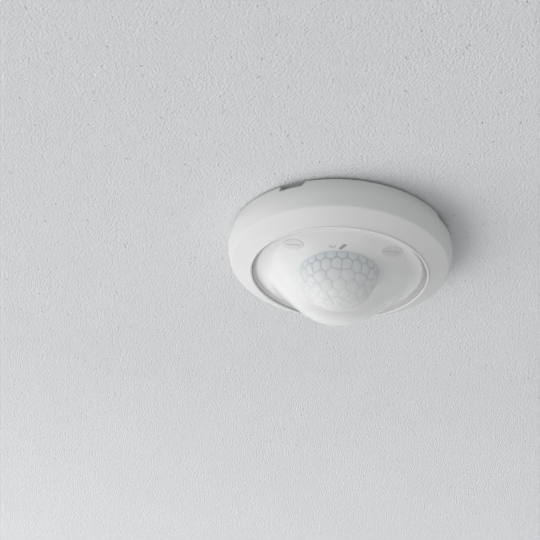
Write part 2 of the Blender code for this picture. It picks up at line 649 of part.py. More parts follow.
def make_sensor_board():
    """The small round board that carries the detectors."""
    body = bmesh.new()
    add_cylinder(body, 0.0, 0.0, SENSOR_BOARD_RADIUS, SENSOR_BOARD_TOP, SENSOR_BOARD_BOTTOM, SEGMENTS_LARGE)
    board = finish("sensor_board", body, board_green())
    holes = bmesh.new()
    for x, y in board_screw_places():
        add_cylinder(holes, x, y, BOARD_SCREW_RADIUS + GAP, SENSOR_BOARD_TOP - OVERCUT, SENSOR_BOARD_BOTTOM + OVERCUT)
    cut(board, holes, "sensor_board_holes")
    return board


def make_board_screws():
    """Two small screws that hold the sensor board to the face."""
    head = SENSOR_BOARD_TOP - GAP - BOARD_HEAD_HEIGHT
    for number, (x, y) in enumerate(board_screw_places(), 1):
        screw(f"board_screw_{number}", x, y, head, BOARD_HEAD_RADIUS, BOARD_HEAD_HEIGHT, BOARD_SCREW_RADIUS,
              BOARD_SCREW_LENGTH, plated_steel(), upwards=False)


def make_detectors():
    """Metal-canned heat detectors in the middle of the lens."""
    top = SENSOR_BOARD_BOTTOM + GAP
    can = DETECTOR_RADIUS
    profile = [(0.0, top), (can + DETECTOR_BRIM, top), (can + DETECTOR_BRIM, top + DETECTOR_BRIM),
               (can, top + DETECTOR_BRIM), (can, top + DETECTOR_HEIGHT), (0.0, top + DETECTOR_HEIGHT)]
    for number in range(DETECTOR_COUNT):
        x, y = polar(DETECTOR_CIRCLE, 90.0 + number * 360.0 / DETECTOR_COUNT)
        turned(f"heat_detector_{number + 1}", profile, SEGMENTS_SMALL, plated_steel(), (x, y, 0.0))


def make_status_led():
    """The signal lamp beside the lens, standing on the sensor board."""
    top = SENSOR_BOARD_BOTTOM + GAP
    foot = LED_RADIUS + LED_FOOT
    tip = FACE_DEPTH - GAP
    bend = tip - LED_RADIUS
    cap = arc((0.0, bend), LED_RADIUS, 0.0, 90.0, 4)
    profile = [(0.0, top), (foot, top), (foot, top + LED_FOOT * 2), (LED_RADIUS, top + LED_FOOT * 2)]
    return turned("status_led", profile + cap[:-1] + [(0.0, tip)], SEGMENTS_SMALL, lens_plastic(),
                  (LED_X, SETTING_Y, 0.0))


def make_light_sensor():
    """The brightness sensor and the smoked window in front of it."""
    top = SENSOR_BOARD_BOTTOM + GAP
    chip_bottom = top + LIGHT_CHIP[2]
    chip = bmesh.new()
    add_box(chip, LIGHT_WINDOW_X, SETTING_Y, LIGHT_CHIP[0], LIGHT_CHIP[1], top, chip_bottom, LIGHT_WINDOW_DEG)
    finish("light_sensor", chip, black_plastic())
    window = bmesh.new()
    slot = slot_outline(LIGHT_WINDOW_X, SETTING_Y, LIGHT_WINDOW[0], LIGHT_WINDOW[1], LIGHT_WINDOW_DEG)
    add_extrusion(window, slot, FACE_BACK, FACE_DEPTH)
    finish("light_window", window, black_plastic())


def make_power_board():
    """The large board in the tray, cut out round the socket and the bosses."""
    body = bmesh.new()
    radius = HOUSING_RADIUS - HOUSING_WALL - BOARD_EDGE
    add_extrusion(body, d_outline(radius, CHORD_INNER - BOARD_EDGE), POWER_BOARD_TOP, POWER_BOARD_BOTTOM)
    board = finish("power_board", body, board_green())
    holes = bmesh.new()
    window = 4 * GAP
    add_box(holes, 0.0, SOCKET_Y, SOCKET_SIZE[0] + window, SOCKET_SIZE[1] + window, POWER_BOARD_TOP - OVERCUT,
            POWER_BOARD_BOTTOM + OVERCUT)
    for angle in BOSS_ANGLES_DEG:
        add_cylinder(holes, *polar(BOSS_CIRCLE, angle), BOSS_RADIUS + GAP, POWER_BOARD_TOP - OVERCUT,
                     POWER_BOARD_BOTTOM + OVERCUT, SEGMENTS_MEDIUM)
    cut(board, holes, "power_board_holes")
    return board


def make_contact_plug():
    """A bridge under the board's window that carries the blades, and the blades themselves."""
    foot_width = PLUG_MARGIN - GAP
    length = SOCKET_SIZE[0] + 2 * PLUG_MARGIN
    bridge_top = HOUSING_TOP + SOCKET_SIZE[2] + 2 * GAP
    bridge_bottom = bridge_top + PLUG_HEIGHT
    body = bmesh.new()
    add_box(body, 0.0, SOCKET_Y, length, SOCKET_SIZE[1], bridge_top, bridge_bottom)
    plug = finish("contact_plug", body, black_plastic())
    feet = bmesh.new()
    for side in (-1, 1):
        add_box(feet, side * (length - foot_width) / 2, SOCKET_Y, foot_width, SOCKET_SIZE[1] - OVERCUT,
                PARTS_TOP, bridge_top + PLUG_HEIGHT / 2)
    join(plug, feet, "plug_feet")
    blade_bottom = bridge_top - GAP
    blade_top = HOUSING_TOP + SOCKET_SIZE[2] - BLADE_ENGAGEMENT
    for number, x in enumerate(contact_places(), 1):
        blade = bmesh.new()
        add_box(blade, x, SOCKET_Y, BLADE_SIZE[0], BLADE_SIZE[1], blade_top, blade_bottom)
        finish(f"contact_blade_{number}", blade, contact_brass())


def make_block(name, spec, look, soft=0.0004):
    """A rectangular component on the power board."""
    x, y, length, width, height = spec
    body = bmesh.new()
    add_box(body, x, y, length, width, PARTS_TOP, PARTS_TOP + height)
    soften(finish(name, body, look), soft)


def make_can(name, spec, look):
    """A round component on the power board, with a broken edge at both ends."""
    x, y, radius, height = spec
    edge = radius * CAN_EDGE
    top = PARTS_TOP
    end = top + height
    profile = [(0.0, top), (radius - edge, top), (radius, top + edge), (radius, end - edge),
               (radius - edge, end), (0.0, end)]
    turned(name, profile, SEGMENTS_SMALL, look, (x, y, 0.0))


def make_electronics():
    """What the power board carries."""
    relay_x = -(SENSOR_BOARD_RADIUS + RELAY_CLEARANCE + RELAY_SIZE[0] / 2)
    make_block("relay", (relay_x, RELAY_Y, *RELAY_SIZE), black_plastic())
    make_block("control_chip", CONTROL_CHIP, black_plastic(), 0.0002)
    make_block("film_capacitor", FILM_CAPACITOR, grey_plastic())
    store_x = SENSOR_BOARD_RADIUS + STORE_CLEARANCE + STORE_CAPACITOR_SIZE[0]
    make_can("store_capacitor", (store_x, STORE_CAPACITOR_Y, *STORE_CAPACITOR_SIZE), plated_steel())
    make_can("choke", CHOKE, black_plastic())
    make_can("varistor", VARISTOR, grey_plastic())
    link_height = SENSOR_BOARD_TOP - GAP - PARTS_TOP
    make_block("board_link", (*BOARD_LINK, link_height), black_plastic(), 0.0002)


# ---- dials ------------------------------------------------------------------------------
def make_potentiometer(name, angle):
    """The adjustable resistor that a dial turns, with a bore for the dial's shaft."""
    x, y = polar(DIAL_CIRCLE, angle)
    length, width, height = POT_SIZE
    body = bmesh.new()
    add_box(body, x, y, length, width, PARTS_TOP, PARTS_TOP + height)
    pot = finish(name, body, black_plastic())
    bore = bmesh.new()
    bottom = PARTS_TOP + height
    add_cylinder(bore, x, y, DIAL_SHAFT_RADIUS + GAP, bottom - POT_BORE_DEPTH, bottom + OVERCUT)
    cut(pot, bore, name + "_bore")


def make_dial(name, angle):
    """A dial with a screwdriver slot. Its origin is on its axis, in the plane of the face."""
    x, y = polar(DIAL_CIRCLE, angle)
    front = FACE_DEPTH + DIAL_PROUD
    collar_bottom = FACE_BACK - GAP
    collar_top = collar_bottom - DIAL_COLLAR_HEIGHT
    shaft_top = PARTS_TOP + POT_SIZE[2] - POT_BORE_DEPTH + GAP
    collar = DIAL_RADIUS + DIAL_COLLAR
    profile = [(0.0, shaft_top), (DIAL_SHAFT_RADIUS, shaft_top), (DIAL_SHAFT_RADIUS, collar_top),
               (collar, collar_top), (collar, collar_bottom), (DIAL_RADIUS, collar_bottom),
               (DIAL_RADIUS, front), (0.0, front)]
    shifted = [(radius, depth - FACE_DEPTH) for radius, depth in profile]
    dial = turned(name, shifted, SEGMENTS_MEDIUM, grey_plastic(), (x, y, -FACE_DEPTH))
    slot = bmesh.new()
    add_box(slot, x, y, DIAL_SLOT[0], DIAL_SLOT[1], front - DIAL_SLOT[2], front + OVERCUT)
    cut(dial, slot, name + "_slot")
    return dial


# ---- cover --------------------------------------------------------------------------------
def notch_cutter(bm, angle_deg):
    """A pry-off notch: straight at one end, sloped at the other, cut through the wall."""
    half = NOTCH_WIDTH / 2
    low = CEILING_GAP - OVERCUT
    high = CEILING_GAP + NOTCH_HEIGHT
    shape = [(-half, low), (half + NOTCH_RAMP, low), (half, high), (-half, high)]
    inner = COLLAR_RADIUS + GAP
    outer = OUTER_RADIUS + OVERCUT
    turn = Matrix.Rotation(math.radians(angle_deg), 3, "Z")
    near = [bm.verts.new(turn @ Vector((inner, along, -depth))) for along, depth in shape]
    far = [bm.verts.new(turn @ Vector((outer, along, -depth))) for along, depth in shape]
    bm.faces.new(near)
    bm.faces.new(far[::-1])
    for i in range(len(shape)):
        j = (i + 1) % len(shape)
        bm.faces.new((near[i], near[j], far[j], far[i]))


def make_housing_cover():
    """The outer cover: side wall, bevel, ring round the dome, grip ribs and four pry-off notches."""
    cover = turned("housing_cover", cover_profile(), SEGMENTS_LARGE, white_plastic())
    ribs = bmesh.new()
    inner = BRIM_RADIUS + GAP
    outer = COVER_NARROWEST + COVER_WALL / 2
    step = 360.0 / NOTCH_COUNT
    for i in range(NOTCH_COUNT):
        angle = NOTCH_START_DEG + (i + 0.5) * step
        x, y = polar((inner + outer) / 2, angle)
        add_box(ribs, x, y, outer - inner, RIB_WIDTH, BRIM_BOTTOM - RIB_HEIGHT, BRIM_BOTTOM, angle)
    join(cover, ribs, "cover_ribs")
    notches = bmesh.new()
    for i in range(NOTCH_COUNT):
        notch_cutter(notches, NOTCH_START_DEG + i * step)
    cut(cover, notches, "cover_notches")
    return cover


def make_outer_dome():
    """The smooth bell-shaped dome, clamped behind the cover's ledge."""
    return turned("outer_dome", dome_profile(), SEGMENTS_LARGE, dome_plastic())


def make_clamp_ring():
    """The ring that holds the dome's flange on its ledge."""
    inner = DOME_STEP_RADIUS - CLAMP_RING_OVERHANG
    outer = OPENING_RADIUS + LEDGE_WIDTH - CLAMP_RING_INSET
    profile = [(inner, CLAMP_RING_TOP), (outer, CLAMP_RING_TOP), (outer, CLAMP_RING_BOTTOM),
               (inner, CLAMP_RING_BOTTOM)]
    return turned("dome_clamp_ring", profile, SEGMENTS_LARGE, white_plastic())


def build():
    clear_scene()
    make_mounting_base()
    make_cable_grommet()
    make_terminal_block()
    make_terminal_screws()
    make_contact_socket()
    make_module_housing()
    make_housing_screws()
    make_sensor_face()
    make_inner_lens()
    make_sensor_board()
    make_board_screws()
    make_detectors()
    make_status_led()
    make_light_sensor()
    make_power_board()
    make_contact_plug()
    make_electronics()
    for setting, angle in DIAL_ANGLES_DEG.items():
        make_potentiometer(f"{setting}_potentiometer", angle)
        make_dial(f"{setting}_dial", angle)
    make_housing_cover()
    make_outer_dome()
    make_clamp_ring()


build()
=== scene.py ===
# %% [markdown]
# # A ceiling motion sensor, finished piece by piece
# The imported model gives every piece its size, its place and its movement. This file only
# gives them their look. We start by loading that model.

# %% Load the frame
import json
import math

import bpy
import numpy as np
from mathutils import Matrix, Vector


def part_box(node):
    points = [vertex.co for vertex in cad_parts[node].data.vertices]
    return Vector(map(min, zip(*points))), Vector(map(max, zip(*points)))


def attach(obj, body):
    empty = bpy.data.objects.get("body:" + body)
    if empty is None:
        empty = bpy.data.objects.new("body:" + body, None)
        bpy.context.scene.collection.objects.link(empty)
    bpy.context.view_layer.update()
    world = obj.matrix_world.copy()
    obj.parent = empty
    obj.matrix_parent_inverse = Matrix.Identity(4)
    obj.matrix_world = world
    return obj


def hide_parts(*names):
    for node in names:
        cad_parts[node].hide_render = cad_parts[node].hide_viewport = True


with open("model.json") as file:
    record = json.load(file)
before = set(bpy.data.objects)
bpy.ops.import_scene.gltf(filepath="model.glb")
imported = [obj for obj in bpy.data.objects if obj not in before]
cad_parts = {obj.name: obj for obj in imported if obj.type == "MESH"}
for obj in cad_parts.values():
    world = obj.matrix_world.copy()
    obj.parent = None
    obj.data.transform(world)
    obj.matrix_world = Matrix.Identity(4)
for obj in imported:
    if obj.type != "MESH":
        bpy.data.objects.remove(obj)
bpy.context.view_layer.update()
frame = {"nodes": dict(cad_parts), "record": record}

# %% [markdown]
# ## The camera
# We look up at the ceiling from below, about 31 degrees above the horizon, with a long lens
# and the head tilted a little. A camera in Blender looks along its own -Z with +Y up, so its
# three axes are worked out from the pitch and the roll and written as columns of a matrix.

# %% Camera
PITCH = math.radians(30.94)
ROLL = math.radians(4.26)
SENSOR_WIDTH = 36.0
LENS = 86.7
SENSOR_FROM_CAMERA = Vector((0.0349, -0.0148, 0.6443))   # right, down and ahead of the camera


def add_camera():
    """Places the camera so that the middle of the sensor's back lies right, down and ahead of it."""
    right = Vector((1, 0, 0))
    down = Vector((0, math.sin(PITCH), -math.cos(PITCH)))
    ahead = Vector((0, math.cos(PITCH), math.sin(PITCH)))
    tilted_right = math.cos(ROLL) * right - math.sin(ROLL) * down
    tilted_down = math.sin(ROLL) * right + math.cos(ROLL) * down
    to_sensor = SENSOR_FROM_CAMERA
    place = -(tilted_right * to_sensor.x + tilted_down * to_sensor.y + ahead * to_sensor.z)
    data = bpy.data.cameras.new("camera")
    data.lens = LENS
    data.sensor_width = SENSOR_WIDTH
    data.clip_start = 0.01
    camera = bpy.data.objects.new("camera", data)
    turn = Matrix((tilted_right, -tilted_down, -ahead)).transposed()
    camera.matrix_world = Matrix.Translation(place) @ turn.to_4x4()
    bpy.context.scene.collection.objects.link(camera)
    bpy.context.scene.camera = camera
    return place


print("the camera stands at", [round(value, 3) for value in add_camera()])

# %% [markdown]
# ## Shader maths as Python
# Node trees get long when every sum is wired by hand. This small class wraps a socket, so
# that `1 - mask * 0.5` in Python adds the Math nodes for us. A `Finish` is one material: its
# `node` method adds any node from a type, its settings and the values of its sockets.

# %% Shader helpers
class Signal:
    """One number that varies over a surface."""

    def __init__(self, tree, socket):
        self.tree = tree
        self.socket = socket

    def _math(self, operation, first, second):
        node = self.tree.nodes.new("ShaderNodeMath")
        node.operation = operation
        for slot_number, value in enumerate((first, second)):
            if isinstance(value, Signal):
                self.tree.links.new(value.socket, node.inputs[slot_number])
            else:
                node.inputs[slot_number].default_value = value
        return Signal(self.tree, node.outputs[0])

    def __add__(self, other):
        return self._math("ADD", self, other)

    __radd__ = __add__

    def __sub__(self, other):
        return self._math("SUBTRACT", self, other)

    def __rsub__(self, other):
        return self._math("SUBTRACT", other, self)

    def __mul__(self, other):
        return self._math("MULTIPLY", self, other)

    __rmul__ = __mul__

    def __pow__(self, other):
        return self._math("POWER", self, other)

    def clamp(self):
        return self._math("MINIMUM", self._math("MAXIMUM", self, 0.0), 1.0)


class Finish:
    """A material that is built from node calls."""

    def __init__(self, name):
        self.material = bpy.data.materials.new(name)
        self.material.use_nodes = True
        self.tree = self.material.node_tree
        self.shader = self.tree.nodes["Principled BSDF"]
        self.output = self.tree.nodes["Material Output"]

    def node(self, kind, settings=None, values=None):
        """Adds a node: its settings are set first, then its sockets get a value or a link."""
        made = self.tree.nodes.new("ShaderNode" + kind)
        for key, value in (settings or {}).items():
            setattr(made, key, value)
        for key, value in (values or {}).items():
            self.feed(made.inputs[key], value)
        return made

    def feed(self, socket, value):
        source = value.socket if isinstance(value, Signal) else value
        if isinstance(source, bpy.types.NodeSocket):
            self.tree.links.new(source, socket)
        else:
            socket.default_value = source

    def signal(self, socket):
        return Signal(self.tree, socket)

    def place(self):
        """Object coordinates: on every piece here they are plain metres in the model's frame."""
        return self.node("TexCoord").outputs["Object"]

    def noise(self, scale, detail=2.0, roughness=0.5):
        made = self.node("TexNoise", {}, {"Vector": self.place(), "Scale": scale, "Detail": detail,
                                          "Roughness": roughness})
        return self.signal(made.outputs["Fac"])

    def grains(self, scale, feature="F1"):
        made = self.node("TexVoronoi", {"feature": feature}, {"Vector": self.place(), "Scale": scale})
        return self.signal(made.outputs["Distance"])

    def attribute(self, name):
        return self.signal(self.node("Attribute", {"attribute_name": name}).outputs["Fac"])

    def between(self, first, second, share):
        """A colour between two colours."""
        mix = self.node("Mix", {"data_type": "RGBA"})
        self.feed(mix.inputs["Factor"], share)
        for socket, colour in ((mix.inputs[6], first), (mix.inputs[7], second)):
            self.feed(socket, (*colour, 1.0) if isinstance(colour, tuple) else colour)
        return mix.outputs[2]

    def bump(self, height, distance, strength=1.0):
        made = self.node("Bump", {}, {"Height": height, "Distance": distance, "Strength": strength})
        self.feed(self.shader.inputs["Normal"], made.outputs["Normal"])

    def set(self, **values):
        """Sets the Principled shader's sockets; base_color stands for Base Color."""
        for key, value in values.items():
            name = " ".join(word if word == "IOR" else word.capitalize() for word in key.split("_"))
            if isinstance(value, tuple) and len(value) == 3:
                value = (*value, 1.0)
            self.feed(self.shader.inputs[name], value)
        return self


# %% [markdown]
# ## The finish of moulded plastic
# Moulded parts are never one flat colour. The mould leaves a fine satin grain, the plastic
# flows with faint clouds, and hands polish some places more than others. Three noises at
# three sizes give that: clouds for the colour, patches for the roughness, grain for the bump.

# %% Moulded plastic
def moulded(name, colour, roughness, grain_size=0.0004, grain_depth=0.00001, clouds=0.03, coat=0.0):
    """Colour drifts by a few percent with a slow noise, and a fine noise lifts the surface a little."""
    finish = Finish(name)
    drift = finish.noise(38.0, 3.0)
    patches = finish.noise(160.0, 2.0)
    grain = finish.noise(1.0 / grain_size, 2.0, 0.6)
    darker = tuple(channel * (1.0 - clouds) for channel in colour)
    lighter = tuple(min(channel * (1.0 + clouds), 1.0) for channel in colour)
    finish.set(base_color=finish.between(darker, lighter, drift),
               roughness=patches * 0.12 + (roughness - 0.06))
    finish.bump(grain, grain_depth)
    if coat:
        finish.set(coat_weight=coat, coat_roughness=0.12)
    return finish.material


COVER_PLASTIC = moulded("cover_plastic", (0.69, 0.69, 0.676), 0.46)
WHITE_PLASTIC = moulded("white_plastic", (0.74, 0.74, 0.72), 0.45)
DIAL_PLASTIC = moulded("dial_plastic", (0.70, 0.70, 0.69), 0.50)
GREY_PLASTIC = moulded("grey_plastic", (0.47, 0.475, 0.48), 0.55)
FACE_PLASTIC = moulded("face_plastic", (0.88, 0.875, 0.86), 0.50)
BLACK_PLASTIC = moulded("black_plastic", (0.035, 0.035, 0.04), 0.40, clouds=0.15)
RUBBER = moulded("grommet_rubber", (0.07, 0.07, 0.07), 0.80,
                 grain_size=0.0008, grain_depth=0.00003, clouds=0.15)
print("moulded plastics:", COVER_PLASTIC.name, WHITE_PLASTIC.name, GREY_PLASTIC.name, FACE_PLASTIC.name)

# %% [markdown]
# ## Metal and circuit board
# Stamped brass and plated steel are brushed by their tools: a noise that is stretched along
# one direction makes the fine lines. A circuit board is lacquer over copper, so copper tracks
# show as slightly paler lines under the green.

# %% Metal and board
def stamped_metal(name, colour, roughness):
    """Fine lines along X: the noise is squeezed across them, and it moves colour and roughness."""
    finish = Finish(name)
    stretched = finish.node("Mapping", {}, {"Vector": finish.place(), "Scale": (0.06, 1.0, 1.0)})
    lines = finish.node("TexNoise", {},
                        {"Vector": stretched.outputs["Vector"], "Scale": 5200.0, "Detail": 2.0})
    line = finish.signal(lines.outputs["Fac"])
    dull = tuple(channel * 0.82 for channel in colour)
    finish.set(base_color=finish.between(dull, colour, line), roughness=line * 0.18 + roughness, metallic=1.0)
    finish.bump(line, 0.000006)
    return finish.material


def circuit_board():
    """Tracks follow the borders of rounded cells; lacquer gives a thin gloss."""
    finish = Finish("board_green")
    cells = finish.grains(260.0, "DISTANCE_TO_EDGE")
    track = (1.0 - cells * 9.0).clamp()
    finish.set(base_color=finish.between((0.030, 0.135, 0.070), (0.075, 0.26, 0.13), track), roughness=0.38)
    finish.set(coat_weight=0.4, coat_roughness=0.15)
    finish.bump(track, 0.00003)
    return finish.material


BRASS = stamped_metal("contact_brass", (0.75, 0.58, 0.28), 0.28)
STEEL = stamped_metal("plated_steel", (0.62, 0.62, 0.61), 0.30)
BOARD = circuit_board()
print("metals and board:", BRASS.name, STEEL.name, BOARD.name)

# %% [markdown]
# ## The dome's milky plastic
# The smooth outer dome is thin, milky and glossy. Looking straight through it, the honeycomb
# lens shows faintly; at a flat angle more light is scattered and it looks nearly solid. So
# its alpha grows with the square of Layer Weight's facing value, and a coat keeps the gloss.

# %% Milky dome
DOME_CLEAREST = 0.235
DOME_FLAT_ANGLE_GAIN = 0.95


def milky_dome():
    """Alpha rises from its clearest value to nearly solid as the surface turns away from the eye."""
    finish = Finish("dome_plastic")
    clouds = finish.noise(24.0, 2.0)
    facing = finish.signal(finish.node("LayerWeight", {}, {"Blend": 0.35}).outputs["Facing"])
    solid = (facing**2.0 * DOME_FLAT_ANGLE_GAIN + DOME_CLEAREST).clamp()
    finish.set(base_color=finish.between((0.87, 0.87, 0.855), (0.91, 0.91, 0.90), clouds),
               roughness=clouds * 0.06 + 0.14, alpha=solid)
    finish.set(coat_weight=0.6, coat_roughness=0.08)
    finish.bump(finish.noise(90.0, 1.0), 0.00004)
    return finish.material


DOME_PLASTIC = milky_dome()
print("dome finish:", DOME_PLASTIC.name)

# %% [markdown]
# ## The lens plastic
# The inner dome is the real lens: many small facets, each one gathering heat from its own
# direction. Its colour is painted shade: blue-grey at the neck, for the dark detectors seen
# through it, and dark in the thin grooves between the facets. The groove's depth is stored on the
# mesh as an attribute, so the painted groove shade follows the geometry exactly.

# %% Lens plastic
def lens_plastic():
    """Painted shade: facets are blue-grey at the neck and pale at the tip; grooves are painted darker."""
    finish = Finish("lens_plastic")
    groove = finish.attribute("groove")
    towards_tip = finish.attribute("towards_tip")
    # painted shade: the facets are painted darker at the neck, and the grooves darker still
    facet = finish.between((0.60, 0.67, 0.73), (0.86, 0.862, 0.855), towards_tip)
    groove_shade = finish.between((0.20, 0.245, 0.32), (0.76, 0.765, 0.77), towards_tip)
    finish.set(base_color=finish.between(facet, groove_shade, groove), roughness=finish.noise(300.0) * 0.1 + 0.25)
    finish.bump(finish.noise(1500.0), 0.000008)
    return finish.material


LENS_PLASTIC = lens_plastic()
print("lens finish:", LENS_PLASTIC.name)

# %% [markdown]
# ## Turned surfaces
# Most of this sensor is round, so most of its pieces can be one grid of points: one direction
# goes round the axis, the other along the outline. The helper below takes two grids, radius
# and depth below the ceiling, and joins neighbouring points with four-sided faces. Where an
# outline ends on the axis, a fan of triangles closes the pole.

# %% Turned surface helper
def surface(name, turn, radius, depth, wrap_outline, material, attributes=None):
    """Point (i, j) lies at radius[i, j] in direction turn[j], at depth[i, j] below the ceiling."""
    rows, columns = radius.shape
    x = radius * np.cos(turn)
    y = radius * np.sin(turn)
    points = np.stack([x, y, -depth], -1).reshape(-1, 3)
    index = np.arange(rows * columns).reshape(rows, columns)
    upper = index if wrap_outline else index[:-1]
    lower = np.roll(index, -1, 0) if wrap_outline else index[1:]
    quads = np.stack([upper, lower, np.roll(lower, -1, 1), np.roll(upper, -1, 1)], -1).reshape(-1, 4)
    faces = quads.tolist()
    if not wrap_outline:
        poles = np.array([[0.0, 0.0, -depth[0].mean()], [0.0, 0.0, -depth[-1].mean()]])
        first, last = len(points), len(points) + 1
        points = np.vstack([points, poles])
        ring = index[0]
        faces += np.stack([np.full(columns, first), ring, np.roll(ring, -1)], -1).tolist()
        ring = index[-1]
        faces += np.stack([np.full(columns, last), np.roll(ring, -1), ring], -1).tolist()
    mesh = bpy.data.meshes.new(name)
    mesh.from_pydata(points.tolist(), [], faces)
    for key, values in (attributes or {}).items():
        flat = np.concatenate([values.reshape(-1), np.zeros(len(points) - values.size)])
        mesh.attributes.new(key, "FLOAT", "POINT").data.foreach_set("value", flat)
    if signed_volume(points, faces) < 0:
        mesh.flip_normals()
    mesh.shade_smooth()
    mesh.set_sharp_from_angle(angle=math.radians(35.0))
    mesh.materials.append(material)
    thing = bpy.data.objects.new(name, mesh)
    bpy.context.scene.collection.objects.link(thing)
    print(name, "has", len(faces), "faces")
    return thing


def signed_volume(points, faces):
    """Sum of pyramids from the middle to a sample of the faces; it is negative inside out."""
    fans = np.array([(face[0], face[k], face[k + 1]) for face in faces[:: max(1, len(faces) // 4000)]
                     for k in range(1, len(face) - 1)])
    a, b, c = (points[fans[:, k]] for k in range(3))
    middle = points.mean(0)
    return float(np.einsum("ij,ij->i", a - middle, np.cross(b - middle, c - middle)).sum())


def even_turn(columns):
    """Directions spread evenly round the axis."""
    return np.linspace(0.0, 2 * np.pi, columns, endpoint=False)

# %% [markdown]
# ## Sizes from the frame
# Every new surface repeats a piece of the model more finely, so its sizes are read from the
# boxes of the model's nodes. Only what a box can't tell, such as a corner's radius, is written
# here as a value of its own.

# %% Sizes
COVER_LOW, COVER_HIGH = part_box("housing_cover")
DOME_LOW, DOME_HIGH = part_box("outer_dome")
RING_LOW, RING_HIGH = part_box("dome_clamp_ring")
LENS_LOW, LENS_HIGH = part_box("inner_lens")
FACE_LOW, FACE_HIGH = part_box("sensor_face")

OUTER_RADIUS = COVER_HIGH[0]
CEILING_GAP = -COVER_HIGH[2]
RIM_TIP_DEPTH = -COVER_LOW[2]
DOME_TIP_DEPTH = -DOME_LOW[2]
DOME_FLANGE_RADIUS = DOME_HIGH[0]
DOME_FLANGE_TOP = -DOME_HIGH[2]
print("outer radius", round(OUTER_RADIUS, 4), "dome tip at", round(DOME_TIP_DEPTH, 4))

# %% Sizes that a box can't tell
OPENING_RADIUS = 0.0425
LEDGE_WIDTH = 0.0049
LEDGE_DROP = 0.0031
RIM_WIDTH = 0.0014
RIM_HEIGHT = 0.0006
RIM_DEPTH = RIM_TIP_DEPTH - RIM_HEIGHT
COVER_WALL = 0.0020
CEILING_INSET = 0.0014
EDGE_INSET = 0.0018
EDGE_DEPTH = 0.0154
WAIST_DEPTH = 0.0077
EDGE_ROUND = 0.0006
CEILING_ROUND = 0.0003
NOTCH_WIDTH = 0.0120
NOTCH_HEIGHT = 0.0030
NOTCH_RAMP = 0.0014
NOTCH_COUNT = 4
NOTCH_START = math.radians(240.0)
DOME_WALL = 0.0013
DOME_CAP_RADIUS = 0.0300
DOME_FLANK = math.radians(45.0)
DOME_STEP_GAP = 0.0003
DOME_STEP_ROUND = 0.0004
DOME_FOOT_DROP = 0.0002
DOME_FLANGE = 0.0014
LENS_RADIUS = 0.0190
LENS_WALL = 0.0009
LENS_FLANGE_HEIGHT = 0.0011

# %% [markdown]
# ## The cover
# The cover is one moulding: a bulging side wall, a sharp edge, a flat bevel and a thin raised
# ring round the dome. Its outline is a closed loop, so the grid wraps in both directions. The
# four notches for a screwdriver are made in the same grid: where a notch is, the wall's upper
# end starts deeper, and the rows below it move closer together. No cutting is needed, and
# the wall keeps its thickness.

# %% Cover
def wall_radius(depth):
    """The wall is widest at the waist and draws in by a power curve towards ceiling and bevel."""
    up = np.clip((WAIST_DEPTH - depth) / (WAIST_DEPTH - CEILING_GAP), 0.0, 1.0)
    down = np.clip((depth - WAIST_DEPTH) / (EDGE_DEPTH - WAIST_DEPTH), 0.0, 1.0)
    return OUTER_RADIUS - CEILING_INSET * up**1.7 - EDGE_INSET * down**1.7


def corner(before, at, after, reach, steps=5):
    """A small curve that starts reach before a corner and ends reach after it."""
    before, at, after = (np.asarray(point, float) for point in (before, at, after))
    start = at + (before - at) / np.linalg.norm(before - at) * reach
    end = at + (after - at) / np.linalg.norm(after - at) * reach
    share = np.linspace(0.0, 1.0, steps)[:, None]
    return (1 - share) ** 2 * start + 2 * share * (1 - share) * at + share**2 * end


def notch_depth(turn):
    """How far the wall's upper end is cut back: a step at one end of a notch, a slope at the other."""
    step = 2 * np.pi / NOTCH_COUNT
    along = ((turn - NOTCH_START + step / 2) % step - step / 2) * OUTER_RADIUS
    rising = np.clip((along + NOTCH_WIDTH / 2) / 0.0001 + 0.5, 0.0, 1.0)
    falling = np.clip((NOTCH_WIDTH / 2 + NOTCH_RAMP - along) / NOTCH_RAMP, 0.0, 1.0)
    return NOTCH_HEIGHT * np.minimum(rising, falling)


def cover_turn(columns=300):
    """Even directions, with extra ones at both ends of every notch."""
    middle = NOTCH_START + np.arange(NOTCH_COUNT) * 2 * np.pi / NOTCH_COUNT
    ends = np.array([-NOTCH_WIDTH / 2 - 0.00006, -NOTCH_WIDTH / 2 + 0.00006, NOTCH_WIDTH / 2,
                     NOTCH_WIDTH / 2 + NOTCH_RAMP]) / OUTER_RADIUS
    extra = (middle[:, None] + ends).reshape(-1) % (2 * np.pi)
    return np.unique(np.concatenate([even_turn(columns), extra]))


